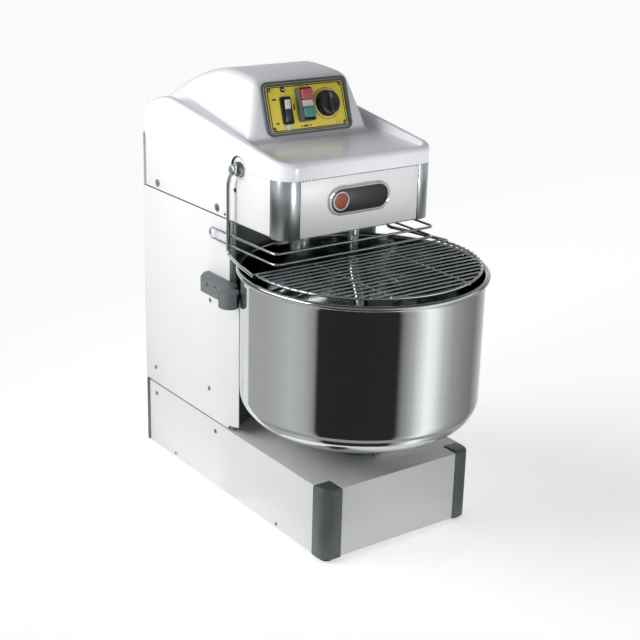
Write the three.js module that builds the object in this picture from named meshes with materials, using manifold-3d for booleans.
// Spiral dough mixer for a bakery: a painted steel body with a cantilever head, a polished bowl that
// turns on the base, a spiral hook and a breaker bar inside it, and a wire guard that lifts.
// Millimetres. +Z is up, -Y is the front where the baker stands, +X is the baker's right.
// The origin is on the floor, under the middle of the machine's overall box.

import * as THREE from 'three';
import { mergeVertices } from 'three/addons/utils/BufferGeometryUtils.js';
import { ConvexGeometry } from 'three/addons/geometries/ConvexGeometry.js';
import Module from 'manifold-3d';

const wasm = await Module();
wasm.setup();

// ---------------------------------------------------------------- driving dimensions

const SHEET = 2;                 // body panels
const SEAM = 0.3;                // gap between neighbouring pieces
const HALF_W = 173;              // half the body's width
const REAR_Y = 368;              // outer face of the rear cover
const FLOOR_GAP = 6.5;           // lower edge of the base above the floor

const BASE_FRONT_Y = -291;
const BASE_TOP = 146.5;
const CAP_SIZE = 38;             // side of a front corner cap, seen from above
const CAP_RADIUS = 22;
const CAP_RISE = 2;              // a cap stands proud of the deck by this much
const REAR_STRIP = 16;           // side of a rear corner cap or strip

const COLUMN_FRONT_Y = -1;       // front edge of the lower side panels
const HORN_Y = 33;               // where the upper column corner starts to round
const LEDGE_Z = 430;             // the side panels step back above this height
const RECESS_R = 242;            // hollow front of the column, around the bowl
const COLUMN_BOTTOM = 150;

const HEAD_FRONT_Y = -140;
const HEAD_BOTTOM = 574;
const SKIRT_Z = 682.5;           // lower edge of the moulded top cover
const HEAD_CORNER = 38;          // side of a head corner extrusion, seen from above

const BOWL_Y = -155;             // the bowl's axis is at x = 0, y = BOWL_Y
const BOWL_WALL_R = 227;
const BOWL_RIM_R = 235;
const BOWL_BOTTOM = 207;
const BOWL_TOP = 508;
const BOWL_SHEET = 2;
const BOWL_CORNER_A = 80;        // the bottom corner is a quarter ellipse: across
const BOWL_CORNER_B = 60;        // and up

const SPIRAL_X = -80;            // the spiral's axis
const SPIRAL_Y = -65;
const SPIRAL_ROD_R = 13;
const BREAKER = [16, -100];      // where the breaker bar is bolted under the head
const BREAKER_R = 11;
const SHAFT_R = 20;              // bowl and spiral shafts

const LAYSHAFT_Y = 150;          // upright shaft in the column, at x = 0
const LAYSHAFT_R = 14;
const SPROCKET_T = 8;            // thickness of every sprocket
const UPPER_CHAIN_Z = 649;       // middle plane of the spiral's chain
const LOWER_CHAIN_Z = 64;        // middle plane of the bowl's chain
const CHAIN_PITCH = 12.7;
const TEETH = { bowl: 54, layLow: 12, layHigh: 30, spiral: 15 };

const PIVOT_Y = -2;              // guard hinge
const PIVOT_Z = 680;
const GUARD_Z = 517;             // plane of the guard's grille
const GUARD_R = 218;             // its round front edge, about the bowl's axis
const RAIL_X = 184;
const RAIL_FRONT_Y = -136;
const RAIL_REAR_Y = 84.5;
const RAIL_HIGH_Z = 553;
const RAIL_LOW_Z = 533;
const WIRE_R = 2.4;
const ARM_R = 3.6;
const BAR_PITCH = 16.5;

const FACE_TILT = THREE.MathUtils.degToRad(71.4);   // slope of the control face from the floor
const FACE_Y = 16.3;             // lower edge of the control bezel
const FACE_Z = 728.5;

// ---------------------------------------------------------------- materials

const finish = (color, roughness, metalness) => ({ color, roughness, metalness });
const PAINT = finish(0xe9e9ea, 0.35, 0);
const GLOSS = finish(0xe4e4e8, 0.22, 0);
const CAP_GREY = finish(0x5c6463, 0.5, 0);
const ALUMINIUM = finish(0x9da3a5, 0.35, 0.9);
const MIRROR_STEEL = finish(0xb9bbbc, 0.12, 1);
const CHROME = finish(0xc9cdce, 0.15, 1);
const STEEL = finish(0x8a8d8f, 0.45, 0.9);
const CAST = finish(0x6f7877, 0.5, 0.3);
const BLACK = finish(0x1d2122, 0.45, 0);
const RUBBER = finish(0x161717, 0.8, 0);
const YELLOW = finish(0xd9c83f, 0.5, 0);
const RED = finish(0xb8403f, 0.4, 0);
const GREEN = finish(0x3f8a63, 0.4, 0);
const PALE = finish(0xd8d8cc, 0.5, 0);
const MOTOR_BLUE = finish(0x3f5a6e, 0.5, 0);

// ---------------------------------------------------------------- shaping helpers

// Positions and triangles only, shared corners merged, faces turned outwards.
function bare(geometry) {
  const g = geometry.clone();
  g.deleteAttribute('normal');
  g.deleteAttribute('uv');
  const merged = mergeVertices(g, 1e-4);
  const p = merged.attributes.position;
  const index = Array.from(merged.index.array);
  const [a, b, c] = [new THREE.Vector3(), new THREE.Vector3(), new THREE.Vector3()];
  const triangles = [];
  let volume = 0;
  for (let i = 0; i < index.length; i += 3) {
    const [i0, i1, i2] = index.slice(i, i + 3);
    if (i0 === i1 || i1 === i2 || i2 === i0) continue;
    a.fromBufferAttribute(p, i0);
    b.fromBufferAttribute(p, i1);
    c.fromBufferAttribute(p, i2);
    volume += a.dot(b.clone().cross(c));
    triangles.push([i0, i1, i2]);
  }
  const ordered = volume < 0 ? triangles.map(([i, j, k]) => [i, k, j]) : triangles;
  merged.setIndex(ordered.flat());
  return merged;
}

// A closed three.js geometry as a solid that can be joined and cut.
function solid(geometry) {
  const g = bare(geometry);
  return new wasm.Manifold(new wasm.Mesh({
    numProp: 3,
    vertProperties: new Float32Array(g.attributes.position.array),
    triVerts: new Uint32Array(g.index.array),
  }));
}

function box(x0, x1, y0, y1, z0, z1) {
  const g = new THREE.BoxGeometry(x1 - x0, y1 - y0, z1 - z0);
  return solid(g.translate((x0 + x1) / 2, (y0 + y1) / 2, (z0 + z1) / 2));
}

// A round bar between two points.
function bar(from, to, radius, sides = 16) {
  const a = new THREE.Vector3(...from);
  const b = new THREE.Vector3(...to);
  const g = new THREE.CylinderGeometry(radius, radius, a.distanceTo(b), sides);
  const up = new THREE.Vector3(0, 1, 0);
  g.applyQuaternion(new THREE.Quaternion().setFromUnitVectors(up, b.clone().sub(a).normalize()));
  const middle = a.add(b).multiplyScalar(0.5);
  return solid(g.translate(middle.x, middle.y, middle.z));
}

const post = (x, y, z0, z1, radius, sides = 24) => bar([x, y, z0], [x, y, z1], radius, sides);

// A flat outline extruded along one axis: outline points are (x, y), (y, z) or (x, z).
function slab(outline, from, to, axis = 'z', holes = []) {
  const shape = outline.isShape ? outline : new THREE.Shape(outline.map((p) => new THREE.Vector2(...p)));
  holes.forEach((hole) => shape.holes.push(new THREE.Path(hole.map((p) => new THREE.Vector2(...p)))));
  const g = new THREE.ExtrudeGeometry(shape, { depth: to - from, bevelEnabled: false, curveSegments: 8 });
  g.translate(0, 0, from);
  const m = new THREE.Matrix4();
  if (axis === 'x') m.set(0, 0, 1, 0, 1, 0, 0, 0, 0, 1, 0, 0, 0, 0, 0, 1);
  if (axis === 'y') m.set(1, 0, 0, 0, 0, 0, 1, 0, 0, 1, 0, 0, 0, 0, 0, 1);
  return solid(g.applyMatrix4(m));
}

// Points of an arc, angles in degrees, both ends included.
function arc(cx, cy, rx, ry, from, to, steps) {
  return Array.from({ length: steps + 1 }, (_, i) => {
    const t = THREE.MathUtils.degToRad(from + ((to - from) * i) / steps);
    return [cx + rx * Math.cos(t), cy + ry * Math.sin(t)];
  });
}

// A rectangle with round corners; radii go round from the low-x low-y corner.
function roundedRect(x0, x1, y0, y1, radii, steps = 6) {
  const [a, b, c, d] = Array.isArray(radii) ? radii : [radii, radii, radii, radii];
  const corner = (cx, cy, r, from) => (r > 0 ? arc(cx, cy, r, r, from, from + 90, steps) : [[cx, cy]]);
  return [
    ...corner(x0 + a, y0 + a, a, 180),
    ...corner(x1 - b, y0 + b, b, 270),
    ...corner(x1 - c, y1 - c, c, 0),
    ...corner(x0 + d, y1 - d, d, 90),
  ];
}

// A solid of revolution about the upright line through (x, y); profile points are (radius, z).
function turned(profile, x, y, sides = 32) {
  const g = new THREE.LatheGeometry(profile.map((p) => new THREE.Vector2(...p)), sides);
  g.rotateX(Math.PI / 2);
  return solid(g.translate(x, y, 0));
}

// A path that has one station at each of its points.
class Stations extends THREE.Curve {
  constructor(points) {
    super();
    this.points = points.map((p) => new THREE.Vector3(...p));
  }

  getPoint(t, target = new THREE.Vector3()) {
    const last = this.points.length - 1;
    const place = THREE.MathUtils.clamp(t, 0, 1) * last;
    const i = Math.min(Math.floor(place), last - 1);
    return target.lerpVectors(this.points[i], this.points[i + 1], place - i);
  }

  getUtoTmapping(u) {
    return u;
  }
}

// A round wire or rod through a row of points.
function wire(points, radius, sides = 8) {
  const section = new THREE.Shape(arc(0, 0, radius, radius, 0, 360 - 360 / sides, sides - 1)
    .map((p) => new THREE.Vector2(...p)));
  return solid(new THREE.ExtrudeGeometry(section, {
    steps: points.length - 1, bevelEnabled: false, extrudePath: new Stations(points),
  }));
}

// Points of a bend that takes the place of the corner b between a and c.
function bend(a, b, c, radius, steps = 4) {
  const [start, corner, end] = [a, b, c].map((p) => new THREE.Vector3(...p));
  const from = start.sub(corner).setLength(radius).add(corner);
  const to = end.sub(corner).setLength(radius).add(corner);
  return new THREE.QuadraticBezierCurve3(from, corner, to).getPoints(steps).map((p) => p.toArray());
}

// The outline of a loop around two circles, such as a chain.
function loopOutline(a, ra, b, rb, steps = 20) {
  const heading = Math.atan2(b[1] - a[1], b[0] - a[0]);
  const lean = Math.acos((ra - rb) / Math.hypot(b[0] - a[0], b[1] - a[1]));
  const deg = (t) => THREE.MathUtils.radToDeg(t);
  return [
    ...arc(a[0], a[1], ra, ra, deg(heading + lean), deg(heading + 2 * Math.PI - lean), steps),
    ...arc(b[0], b[1], rb, rb, deg(heading - lean), deg(heading + lean), steps),
  ];
}

const join = (...parts) => parts.reduce((sum, part) => sum.add(part));
const cut = (part, ...tools) => tools.reduce((rest, tool) => rest.subtract(tool), part);
const mirrored = (part) => part.mirror([1, 0, 0]);

const mixer = new THREE.Group();

function put(name, part, look, parent = mixer) {
  const mesh = part.getMesh();
  const g = new THREE.BufferGeometry();
  g.setAttribute('position', new THREE.BufferAttribute(new Float32Array(mesh.vertProperties), 3));
  g.setIndex(Array.from(mesh.triVerts));
  g.computeVertexNormals();
  const node = new THREE.Mesh(g, new THREE.MeshStandardMaterial(look));
  node.name = name;
  parent.add(node);
}

// The same piece on both sides of the machine; the shape given is the left one, at negative x.
function putPair(name, left, look) {
  put(`${name}_left`, left, look);
  put(`${name}_right`, mirrored(left), look);
}

// ---------------------------------------------------------------- base

function base() {
  const frameX = 132;
  const wall = 4;
  const floor = 10;
  const top = 140;
  const tray = cut(
    box(-frameX, frameX, BASE_FRONT_Y + 6, REAR_Y - 6, floor, top),
    box(-frameX + wall, frameX - wall, BASE_FRONT_Y + 10, REAR_Y - 10, floor + wall, top + 1),
  );
  const shelf = box(-frameX + 1, frameX - 1, BOWL_Y - 80, BOWL_Y + 80, 112, 120);
  put('base_frame', cut(join(tray, shelf), post(0, BOWL_Y, 100, 130, 49.5)), STEEL);

  const deckHole = post(0, BOWL_Y, 130, 150, 50, 32);
  const shaftWell = box(-120, 120, 100, 340, 130, 150);
  const shell = cut(
    box(-HALF_W, HALF_W, BASE_FRONT_Y, REAR_Y, FLOOR_GAP + 1.5, BASE_TOP),
    box(-HALF_W + SHEET, HALF_W - SHEET, BASE_FRONT_Y + SHEET, REAR_Y - SHEET, 0, BASE_TOP - SHEET),
    deckHole,
    shaftWell,
  );
  const inFront = HALF_W - CAP_SIZE;
  const inRear = HALF_W - REAR_STRIP;
  const corners = [-1, 1].flatMap((side) => {
    const span = (inner) => (side < 0 ? [-HALF_W - 5, -inner] : [inner, HALF_W + 5]);
    return [
      box(...span(inFront), BASE_FRONT_Y - 5, BASE_FRONT_Y + CAP_SIZE, 0, BASE_TOP + 5),
      box(...span(inRear), REAR_Y - REAR_STRIP, REAR_Y + 5, 0, BASE_TOP + 5),
    ];
  });
  put('base_cover', cut(shell, ...corners), PAINT);

  const proud = 1;
  const capWall = 3;
  const capTop = BASE_TOP + CAP_RISE;
  const frontCap = (inset, z0, z1) => slab(
    roundedRect(-HALF_W - proud + inset, -inFront - SEAM - inset, BASE_FRONT_Y - proud + inset,
      BASE_FRONT_Y + CAP_SIZE - SEAM - inset, [CAP_RADIUS - inset, 2, 2, 2]), z0, z1);
  putPair('corner_cap_front', cut(frontCap(0, FLOOR_GAP, capTop),
    frontCap(capWall, 0, capTop - capWall)), CAP_GREY);
  const rearCap = (inset, z0, z1) => slab(
    roundedRect(-HALF_W - proud + inset, -inRear - SEAM - inset, REAR_Y - REAR_STRIP + SEAM + inset,
      REAR_Y - inset, [1, 1, 1, 8 - inset]), z0, z1);
  putPair('corner_cap_rear', cut(rearCap(0, FLOOR_GAP, capTop),
    rearCap(capWall, 0, capTop - capWall)), CAP_GREY);

  const foot = (x, y, r) => turned([[0, 0], [r - 2, 0], [r, 3], [r - 1, 14], [5, 16], [5, 40], [0, 40]],
    x, y, 16);
  putPair('foot_front', foot(-HALF_W + 19, BASE_FRONT_Y + 19, 14), RUBBER);
  putPair('foot_rear', foot(-frameX - 16, REAR_Y - 40, 14), RUBBER);
}

// ---------------------------------------------------------------- column

// The column's front outline, seen from above: a hollow around the bowl between two round horns.
function columnFront(offset, sideX) {
  const r = RECESS_R + offset;
  const nose = 7 - offset;
  const reach = r + nose;
  const cx = sideX - nose;
  const cy = BOWL_Y + Math.sqrt(reach * reach - cx * cx);
  const lean = THREE.MathUtils.radToDeg(Math.atan2(cy - BOWL_Y, cx));
  const horn = arc(cx, cy, nose, nose, 0, -(180 - lean), 6);
  const hollow = arc(0, BOWL_Y, r, r, lean, 180 - lean, 20);
  const left = horn.map(([x, y]) => [-x, y]).reverse();
  return [...horn, ...hollow, ...left];
}

function column() {
  const frameX = HALF_W - 4.5;
  const plate = 4;
  const webY = 91;
  const frameTop = 589.7;
  const frame = join(
    box(-frameX, -frameX + plate, 34, REAR_Y - 6, COLUMN_BOTTOM, frameTop),
    box(frameX - plate, frameX, 34, REAR_Y - 6, COLUMN_BOTTOM, frameTop),
    box(-frameX + 1, frameX - 1, webY, webY + plate, COLUMN_BOTTOM, frameTop),
  );
  put('column_frame', frame, STEEL);

  const top = HEAD_BOTTOM - SEAM;
  const sideOutline = [
    [COLUMN_FRONT_Y, 165], [COLUMN_FRONT_Y + 14, 161], [COLUMN_FRONT_Y + 34, 157],
    [COLUMN_FRONT_Y + 40, COLUMN_BOTTOM], [REAR_Y - 2 - SEAM, COLUMN_BOTTOM], [REAR_Y - 2 - SEAM, top],
    [HORN_Y, top], [HORN_Y, LEDGE_Z], [COLUMN_FRONT_Y + 6, LEDGE_Z], [COLUMN_FRONT_Y, LEDGE_Z - 6],
  ];
  putPair('column_panel', slab(sideOutline, -HALF_W, -HALF_W + SHEET, 'x'), PAINT);

  const wide = HALF_W + 10;
  const outer = [...columnFront(0, HALF_W), [-HALF_W, 120], [HALF_W, 120]];
  const inner = [[HALF_W - SHEET, HORN_Y - SEAM], ...columnFront(SHEET, HALF_W - SHEET),
    [-HALF_W + SHEET, HORN_Y - SEAM], [-wide, HORN_Y - SEAM], [-wide, 130], [wide, 130],
    [wide, HORN_Y - SEAM]];
  const front = cut(
    slab(outer, COLUMN_BOTTOM, top),
    slab(inner, COLUMN_BOTTOM - 1, top + 1),
    box(HALF_W - SHEET - SEAM, wide, -60, 130, 0, LEDGE_Z + SEAM),
    box(-wide, -HALF_W + SHEET + SEAM, -60, 130, 0, LEDGE_Z + SEAM),
  );
  put('column_front_panel', front, PAINT);

  const low = HALF_W - SHEET - SEAM;
  const high = HALF_W - REAR_STRIP - SEAM;
  const cover = slab([[-low, COLUMN_BOTTOM], [low, COLUMN_BOTTOM], [low, top], [high, top],
    [high, SKIRT_Z - 1.5], [-high, SKIRT_Z - 1.5], [-high, top], [-low, top]],
    REAR_Y - SHEET, REAR_Y, 'y');
  const slots = [];
  for (let row = 0; row < 7; row += 1) {
    for (const x of [-75, 75]) {
      const z = 250 + row * 16;
      slots.push(box(x - 45, x + 45, REAR_Y - 5, REAR_Y + 5, z, z + 5));
    }
  }
  put('rear_cover', cut(cover, ...slots), PAINT);
}

// ---------------------------------------------------------------- head

function head() {
  const low = HEAD_BOTTOM + SHEET + SEAM;
  const top = SKIRT_Z - 0.5;
  const pivotNotch = bar([-200, PIVOT_Y, PIVOT_Z], [-150, PIVOT_Y, PIVOT_Z], 15, 24);

  const floor = join(
    box(-160, 160, HEAD_FRONT_Y + 20, REAR_Y - 13, 590, 600),
    box(-160, -156, HEAD_FRONT_Y + 20, REAR_Y - 13, 595, 670),
    box(156, 160, HEAD_FRONT_Y + 20, REAR_Y - 13, 595, 670),
  );
  put('head_frame', cut(floor, post(SPIRAL_X, SPIRAL_Y, 580, 610, 30.5),
    post(0, LAYSHAFT_Y, 580, 610, 18)), STEEL);

  const inFrame = 164.2;
  const edge = RECESS_R - SEAM;
  const lean = THREE.MathUtils.radToDeg(Math.acos(inFrame / edge));
  const under = [[-HALF_W + 2.3, HEAD_FRONT_Y + 2.3], [HALF_W - 2.3, HEAD_FRONT_Y + 2.3],
    [HALF_W - 2.3, 13.7], [inFrame, 13.7], ...arc(0, BOWL_Y, edge, edge, lean, 180 - lean, 16),
    [-inFrame, 13.7], [-HALF_W + 2.3, 13.7]];
  const notch = HEAD_CORNER + 1;
  put('head_bottom_plate', cut(slab(under, HEAD_BOTTOM, HEAD_BOTTOM + SHEET),
    post(SPIRAL_X, SPIRAL_Y, 570, 580, 31),
    post(...BREAKER, 570, 580, BREAKER_R + 1),
    box(-HALF_W - 1, -HALF_W + notch, HEAD_FRONT_Y - 1, HEAD_FRONT_Y + notch, 570, 580),
    box(HALF_W - notch, HALF_W + 1, HEAD_FRONT_Y - 1, HEAD_FRONT_Y + notch, 570, 580)), PAINT);

  const side = box(-HALF_W, -HALF_W + SHEET, HEAD_FRONT_Y + HEAD_CORNER + SEAM,
    REAR_Y - REAR_STRIP - SEAM, low, top);
  putPair('head_panel', cut(side, pivotNotch), PAINT);

  const inner = HALF_W - HEAD_CORNER - SEAM;
  put('head_front_panel', box(-inner, inner, HEAD_FRONT_Y, HEAD_FRONT_Y + SHEET, low, top), PAINT);

  const cornerShape = (inset, grow) => roundedRect(-HALF_W - 0.5 + inset, -HALF_W + HEAD_CORNER + grow,
    HEAD_FRONT_Y - 0.5 + inset, HEAD_FRONT_Y + HEAD_CORNER + grow, [28 - inset, 0, 0, 0]);
  putPair('head_corner', cut(slab(cornerShape(0, 0), HEAD_BOTTOM, top),
    slab(cornerShape(3, 5), HEAD_BOTTOM - 1, top + 1)), ALUMINIUM);

  const stripShape = (inset, grow) => roundedRect(-HALF_W + inset, -HALF_W + REAR_STRIP + grow,
    REAR_Y - REAR_STRIP - grow, REAR_Y - inset, [0, 0, 0, 9 - inset]);
  putPair('head_rear_corner', cut(slab(stripShape(0, 0), low, top),
    slab(stripShape(2.5, 5), low - 1, top + 1)), ALUMINIUM);

  const badgeR = 27;
  const badgeZ = 635;
  const badge = [...arc(-74 + badgeR, badgeZ, badgeR, badgeR, 90, 270, 12),
    ...arc(65 - badgeR, badgeZ, badgeR, badgeR, -90, 90, 12)];
  put('badge', slab(badge, HEAD_FRONT_Y - 5, HEAD_FRONT_Y - SEAM, 'y'), BLACK);
}

// ---------------------------------------------------------------- moulded top cover

const DECK_SLOPE = 0.15;         // the deck rises towards the rear
const DECK_FRONT_Z = 713;
const HUMP_BASE_X = 136;         // half width of the hump where it leaves the deck
const HUMP_DRAFT = 0.29;         // its sides lean in by this much per unit of height
const HUMP_BASE_Z = 729;
const HUMP_TOP = [[92, 830], [128, 834], [165, 835], [187, 831], [243, 815], [281, 797], [313, 779],
  [342, 761]];                   // (y, z) along its middle line, front to rear

function hump(inset) {
  const points = [];
  const halfAt = (z) => HUMP_BASE_X - HUMP_DRAFT * (z - HUMP_BASE_Z) - inset;
  const bothSides = (x, y, z) => points.push(new THREE.Vector3(x, y, z), new THREE.Vector3(-x, y, z));
  const round = 16;
  const station = (y, z) => {
    bothSides(halfAt(z - round), y, z - round);
    bothSides(halfAt(z - 5) - 4, y, z - 5);
    bothSides(halfAt(z) - round, y, z);
  };
  const faceY = (z) => FACE_Y + ((z - FACE_Z) / Math.tan(FACE_TILT)) + 4 + inset;
  for (const z of [700, 812]) {
    bothSides(halfAt(z) - 12, faceY(z), z);
    bothSides(halfAt(z), faceY(z) + 12, z);
  }
  bothSides(halfAt(822) - 14, faceY(822) + 3, 822 - inset);
  bothSides(halfAt(826) - 14, faceY(826) + 12, 827.5 - inset);
  HUMP_TOP.forEach(([y, z]) => station(y, z - inset));
  bothSides(halfAt(740), 330 - inset, 740);
  bothSides(halfAt(740) - 30, 352 - inset, 740);
  bothSides(halfAt(700), 330 - inset, 700);
  bothSides(halfAt(700) - 30, 354 - inset, 700);
  return solid(new ConvexGeometry(points));
}

function topCover() {
  const overhang = 4;
  const wall = 3.5;
  const rimZ = (y) => DECK_FRONT_Z + DECK_SLOPE * (y - HEAD_FRONT_Y);
  const frontY = HEAD_FRONT_Y - overhang;
  const rearY = REAR_Y + 1;
  const rimWide = 15;
  const outer = slab([[frontY, SKIRT_Z], [frontY, 702], [frontY + 3, 710], [frontY + 12, rimZ(frontY + 12)],
    [232, rimZ(232)], [262, 771], [300, 763], [336, 748], [358, 733], [rearY, 718], [rearY, SKIRT_Z]],
    -200, 200, 'x');
  // The deck lies lower than the rim that runs round it.
  const deck = [[frontY + rimWide, 706], [FACE_Y - 6, 716], [32, 727], [232, 762], [262, 764], [300, 755],
    [336, 740], [rearY - rimWide, 730]];
  const above = slab([...deck, [rearY - rimWide, 900], [frontY + rimWide, 900]], -200, 200, 'x');
  const below = slab([[frontY - 5, 660], [frontY - 5, 702 - wall], ...deck.map(([y, z]) => [y, z - wall]),
    [rearY + 5, 720 - wall], [rearY + 5, 660]], -200, 200, 'x');
  const plan = (inset) => slab(roundedRect(-HALF_W - overhang + inset, HALF_W + overhang - inset,
    frontY + inset, rearY - inset, [38 - inset, 38 - inset, 30 - inset, 30 - inset]), 600, 900);
  const tray = cut(outer.intersect(plan(0)), above.intersect(plan(rimWide)));
  const hollow = below.intersect(plan(wall));
  const reliefs = [-1, 1].map((side) => bar([side * 160, PIVOT_Y, PIVOT_Z],
    [side * 200, PIVOT_Y, PIVOT_Z], 25, 28));
  put('top_cover', cut(join(tray, hump(0)), hollow, hump(wall), ...reliefs), GLOSS);
}

// ---------------------------------------------------------------- control panel

// Everything here lies on the sloping face: x across, y up the face, z out of it.
function controls() {
  const face = new THREE.Group();
  face.position.set(0, FACE_Y, FACE_Z);
  face.rotation.x = FACE_TILT;
  mixer.add(face);
  const seat = -3.7;             // back of the bezel and the plate
  const plateTop = -1.6;
  const on = plateTop + SEAM;    // where pieces on the plate start

  put('control_bezel', cut(slab(roundedRect(-95, 95, 0, 96.5, 12), seat, 0),
    slab(roundedRect(-88.3, 88.3, 3.7, 93.3, 7), seat - 1, 1)), CAP_GREY, face);
  put('control_plate', slab(roundedRect(-88, 88, 4, 93, 6.8), seat, plateTop), YELLOW, face);

  const buttonX = [-21, 2];
  const pocket = (v0, v1) => box(buttonX[0] - 0.4, buttonX[1] + 0.4, v0 - 0.4, v1 + 0.4, 3, 30);
  put('button_box', cut(slab(roundedRect(-24, 5, 20, 83, 4), on, 15),
    pocket(60, 79), pocket(26, 45)), PALE, face);
  const button = (v0, v1) => slab(roundedRect(...buttonX, v0, v1, 2.5, 3), 7, 21);
  put('stop_button', button(60, 79), RED, face);
  put('start_button', button(26, 45), GREEN, face);

  put('selector_frame', cut(slab(roundedRect(-61, -38, 18, 70, 3), on, 3),
    slab(roundedRect(-58, -41, 21, 67, 2), 0, 10)), BLACK, face);
  const rocker = [[23, 2], [46, 2], [65, 4.8], [65, 8.5], [44, 5.5], [23, 3.2]];
  put('selector_rocker', slab(rocker, -56.5, -42.5, 'x'), BLACK, face);

  const timer = [43, 50];
  put('timer_dial', cut(post(...timer, on, 0.4, 30.5, 40), post(...timer, -5, 5, 8, 24)), PALE, face);
  const knob = join(turned([[0, 0.8], [25, 0.8], [25, 5], [22.5, 14], [20, 16], [0, 16]], ...timer, 36),
    box(timer[0] - 4, timer[0] + 4, timer[1] - 20, timer[1] + 20, 14, 21));
  put('timer_knob', knob, BLACK, face);
  put('indicator_lamp', turned([[0, on], [5.5, on], [5.5, 3], [4, 5.5], [0, 6.5]], -52, 12.5, 16),
    PALE, face);
}

// ---------------------------------------------------------------- bowl and its drive

const pitchRadius = (teeth) => CHAIN_PITCH / 2 / Math.sin(Math.PI / teeth);

// A sprocket as a plain disc of its pitch circle.
const sprocket = (x, y, z, teeth) => post(x, y, z - SPROCKET_T / 2, z + SPROCKET_T / 2, pitchRadius(teeth), 36);

function bowl() {
  const a = BOWL_CORNER_A;
  const b = BOWL_CORNER_B;
  const bead = 5.5;              // radius of the rolled rim's round section
  const inR = BOWL_WALL_R - BOWL_SHEET;
  const wallTop = BOWL_TOP - 2 * bead - SEAM;
  const profile = [
    [0, BOWL_BOTTOM],
    ...arc(BOWL_WALL_R - a, BOWL_BOTTOM + b, a, b, -90, 0, 6),
    [BOWL_WALL_R, wallTop],
    [inR, wallTop],
    ...arc(inR - a + BOWL_SHEET, BOWL_BOTTOM + b, a - BOWL_SHEET, b - BOWL_SHEET, 0, -90, 6),
    [0, BOWL_BOTTOM + BOWL_SHEET],
  ];
  put('bowl', turned(profile, 0, BOWL_Y, 48), MIRROR_STEEL);
  put('bowl_rim', turned(arc(BOWL_RIM_R - bead, BOWL_TOP - bead, bead, bead, 0, 360, 10), 0, BOWL_Y, 48),
    MIRROR_STEEL);

  const flangeR = 70;
  const hub = turned([[0, 34], [SHAFT_R, 34], [SHAFT_R, 186], [flangeR - 12, 194], [flangeR, BOWL_BOTTOM - 4],
    [flangeR, BOWL_BOTTOM - SEAM], [0, BOWL_BOTTOM - SEAM]], 0, BOWL_Y, 32);
  put('bowl_hub', join(hub, sprocket(0, BOWL_Y, LOWER_CHAIN_Z, TEETH.bowl)), STEEL);
  const bore = SHAFT_R + 0.6;
  put('bowl_bearing', turned([[bore, 96], [48, 96], [48, 120.5], [72, 120.5], [72, 130], [48, 132],
    [48, 152], [44, 156], [bore, 156], [bore, 96]], 0, BOWL_Y, 24), CAST);
}

function drive() {
  const half = SPROCKET_T / 2;
  put('spiral_sprocket', cut(sprocket(SPIRAL_X, SPIRAL_Y, UPPER_CHAIN_Z, TEETH.spiral),
    post(SPIRAL_X, SPIRAL_Y, UPPER_CHAIN_Z - 20, UPPER_CHAIN_Z + 20, SHAFT_R + SEAM, 32)), STEEL);

  const low = pitchRadius(TEETH.layLow);
  const high = pitchRadius(TEETH.layHigh);
  put('layshaft', turned([[0, 34], [LAYSHAFT_R, 34], [LAYSHAFT_R, LOWER_CHAIN_Z - half],
    [low, LOWER_CHAIN_Z - half], [low, LOWER_CHAIN_Z + half], [LAYSHAFT_R, LOWER_CHAIN_Z + half],
    [LAYSHAFT_R, UPPER_CHAIN_Z - half], [high, UPPER_CHAIN_Z - half], [high, UPPER_CHAIN_Z + half],
    [LAYSHAFT_R, UPPER_CHAIN_Z + half], [LAYSHAFT_R, 662], [0, 662]], 0, LAYSHAFT_Y, 28), STEEL);

  const chain = (from, r0, to, r1, z) => slab(loopOutline(from, r0 + 8, to, r1 + 8), z - 6, z + 6, 'z',
    [loopOutline(from, r0 + 0.8, to, r1 + 0.8)]);
  put('bowl_chain', chain([0, BOWL_Y], pitchRadius(TEETH.bowl), [0, LAYSHAFT_Y], low, LOWER_CHAIN_Z),
    STEEL);
  put('spiral_chain', chain([0, LAYSHAFT_Y], high, [SPIRAL_X, SPIRAL_Y], pitchRadius(TEETH.spiral),
    UPPER_CHAIN_Z), STEEL);

  const motorY = 280;
  const motor = join(
    box(-62, 62, 100, 346, 330, 430),
    post(0, motorY, 425, 560, 62, 24),
    post(0, motorY, 520, 575, 65, 24),
  );
  put('gearmotor', cut(motor, post(0, LAYSHAFT_Y, 300, 450, LAYSHAFT_R + 0.8)), MOTOR_BLUE);
  put('electric_box', box(-120, 40, 236, 340, 604, 715), PALE);

  const glandX = -110;
  const gland = join(
    bar([glandX, REAR_Y + SEAM, 60], [glandX, REAR_Y + 8, 60], 13, 6),
    bar([glandX, REAR_Y + 7, 60], [glandX, REAR_Y + 22, 60], 10, 16),
  );
  put('cable_gland', cut(gland, bar([glandX, REAR_Y, 60], [glandX, REAR_Y + 30, 60], 5, 12)), BLACK);
}

// ---------------------------------------------------------------- tools in the bowl

// The spiral's middle line: from the end of the shaft out to the working radius, down in turns,
// and in again at the foot.
function spiralPoint(t) {
  const turns = 1.75;
  const topZ = 462;
  const footZ = 243;
  const spread = THREE.MathUtils.smoothstep(t, 0, 0.2);
  const close = THREE.MathUtils.smoothstep(t, 0.72, 1);
  const radius = 4 + 79 * spread - 27 * close;
  const angle = 2 * Math.PI * turns * t + 0.6;
  const z = topZ + (footZ - topZ) * (t + 0.06 * Math.sin(2 * Math.PI * t));
  return [SPIRAL_X + radius * Math.cos(angle), SPIRAL_Y + radius * Math.sin(angle), z];
}

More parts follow.
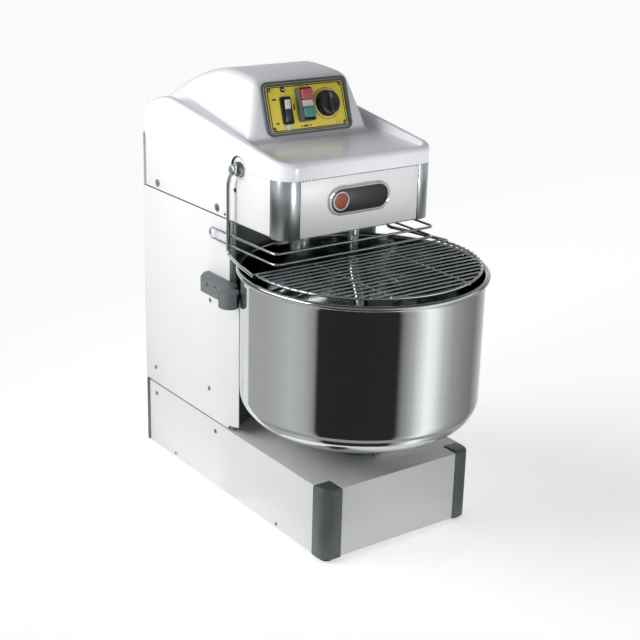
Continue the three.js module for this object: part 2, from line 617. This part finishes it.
function tools() {
  const steps = 44;
  const hook = join(
    turned([[0, 446], [14, 450], [SHAFT_R, 468], [SHAFT_R, 664], [0, 664]], SPIRAL_X, SPIRAL_Y, 32),
    wire(Array.from({ length: steps + 1 }, (_, i) => spiralPoint(i / steps)), SPIRAL_ROD_R),
  );
  put('spiral_hook', hook, MIRROR_STEEL);
  const bore = SHAFT_R + 0.6;
  put('spiral_bearing', turned([[bore, 560], [28, 560], [30, 563], [30, 600.3], [44, 600.3], [44, 612],
    [32, 614], [32, 632], [bore, 632], [bore, 560]], SPIRAL_X, SPIRAL_Y, 24), CAST);

  const [top, upper, lower, foot] = [[BREAKER[0], BREAKER[1], 588], [BREAKER[0], BREAKER[1], 495],
    [0, -152, 425], [0, -152, 222]];
  const path = [top, ...bend(top, upper, lower, 24), ...bend(upper, lower, foot, 24), foot];
  const flange = post(...BREAKER, HEAD_BOTTOM + SHEET + SEAM, 589.7, 28, 24);
  put('dough_breaker', join(wire(path, BREAKER_R, 16), flange), MIRROR_STEEL);
}

// ---------------------------------------------------------------- bowl guard

function guard() {
  const rearBarY = -122;
  const rimFrom = THREE.MathUtils.radToDeg(Math.asin((rearBarY - BOWL_Y) / GUARD_R));
  const rimX = Math.sqrt(GUARD_R ** 2 - (rearBarY - BOWL_Y) ** 2);
  const rim = slab(
    [...arc(0, BOWL_Y, GUARD_R + 2.5, GUARD_R + 2.5, rimFrom, -180 - rimFrom, 32),
      ...arc(0, BOWL_Y, GUARD_R - 2.5, GUARD_R - 2.5, -180 - rimFrom, rimFrom, 32)],
    GUARD_Z - 2.5, GUARD_Z + 2.5);
  const bars = [];
  for (let y = rearBarY; y > BOWL_Y - GUARD_R + 8; y -= BAR_PITCH) {
    const x = Math.sqrt(GUARD_R * GUARD_R - (y - BOWL_Y) ** 2) + 3;
    bars.push(bar([-x, y, GUARD_Z + 1], [x, y, GUARD_Z + 1], 2, 4));
  }
  const stays = [-83, 83].map((x) => bar([x, rearBarY + 3, GUARD_Z - 2.2],
    [x, BOWL_Y - Math.sqrt(GUARD_R ** 2 - x * x), GUARD_Z - 2.2], WIRE_R, 8));
  put('guard_grille', join(rim, ...bars, ...stays), CHROME);

  // One closed rail: two flat U shapes, one above the other, joined by round ends at the rear.
  const endR = (RAIL_HIGH_Z - RAIL_LOW_Z) / 2;
  const flatU = (z) => {
    const at = (x, y) => [x, y, z];
    const end = RAIL_REAR_Y - endR;
    const front = RAIL_FRONT_Y;
    return [
      at(-RAIL_X, end), ...bend(at(-RAIL_X, end), at(-RAIL_X, front), at(0, front), 14),
      ...bend(at(0, front), at(RAIL_X, front), at(RAIL_X, end), 14), at(RAIL_X, end),
    ];
  };
  const turn = (x, from, to) => arc(RAIL_REAR_Y - endR, (RAIL_HIGH_Z + RAIL_LOW_Z) / 2, endR, endR,
    from, to, 6).slice(1, -1).map(([y, z]) => [x, y, z]);
  const lowU = flatU(RAIL_LOW_Z);
  const half = lowU.length / 2;
  const middle = [0, RAIL_FRONT_Y, RAIL_LOW_Z];
  const loop = [middle, ...lowU.slice(half), ...turn(RAIL_X, -90, 90), ...flatU(RAIL_HIGH_Z).reverse(),
    ...turn(-RAIL_X, 90, -90), ...lowU.slice(0, half), [-3, RAIL_FRONT_Y, RAIL_LOW_Z]];
  const weld = bar([-6, RAIL_FRONT_Y, RAIL_LOW_Z], [3, RAIL_FRONT_Y, RAIL_LOW_Z], WIRE_R + 0.1, 8);

  const arms = [-1, 1].flatMap((side) => {
    const x = side * 188.5;
    const y = 13;
    const hinge = [x, PIVOT_Y, PIVOT_Z];
    const neck = [x, y, 656];
    const foot = [x, y, GUARD_Z];
    const waist = [side * 208, -54, GUARD_Z];
    const rimEnd = [side * (rimX + 9), rearBarY - 8, GUARD_Z];
    const path = [hinge, ...bend(hinge, neck, foot, 12), ...bend(neck, foot, waist, 12),
      ...bend(foot, waist, rimEnd, 12), rimEnd];
    return [
      wire(path, ARM_R, 6),
      bar([x - 4, PIVOT_Y, PIVOT_Z], [x + 4, PIVOT_Y, PIVOT_Z], 10, 20),
    ];
  });
  put('guard_frame', cut(join(wire(loop, WIRE_R, 6), weld, ...arms),
    bar([-220, PIVOT_Y, PIVOT_Z], [220, PIVOT_Y, PIVOT_Z], 6.4, 20)), CHROME);

  const shaft = join(
    bar([-193, PIVOT_Y, PIVOT_Z], [193, PIVOT_Y, PIVOT_Z], 6, 16),
    bar([134, PIVOT_Y - 4, PIVOT_Z], [142, PIVOT_Y - 4, PIVOT_Z], 14, 20),
  );
  put('guard_shaft', shaft, STEEL);
  const bearing = cut(bar([-182, PIVOT_Y, PIVOT_Z], [-168, PIVOT_Y, PIVOT_Z], 14, 24),
    bar([-190, PIVOT_Y, PIVOT_Z], [-160, PIVOT_Y, PIVOT_Z], 6.5, 20));
  putPair('guard_bearing', bearing, ALUMINIUM);
  put('limit_switch', box(128, 150, 18, 44, 662, 694), BLACK);
}

// ---------------------------------------------------------------- bowl guide rollers

function guideRollers() {
  const low = 426;
  const high = 457;
  const nose = [-208, -22];
  const noseR = 18.5;
  const axle = [-203.5, -24];
  const rollerR = 14;
  const arm = slab([[-HALF_W - SEAM, 108], [-184, 108], [-204, 88], [-204, 10], [-227, -14],
    [-200, -30], [-190, -8], [-HALF_W - SEAM, 4]], low, high);
  const slot = post(...axle, low + 4, high - 4, rollerR + 1.5, 24);
  const bracket = join(cut(join(arm, post(...nose, low, high, noseR, 28)), slot),
    post(...axle, low + 2, high - 2, 4, 16));
  putPair('roller_bracket', bracket, CAST);
  const roller = cut(post(...axle, low + 4.5, high - 4.5, rollerR, 28), post(...axle, low, high, 4.6, 20));
  putPair('guide_roller', roller, BLACK);
}

base();
column();
head();
topCover();
controls();
bowl();
drive();
tools();
guard();
guideRollers();

export default mixer;
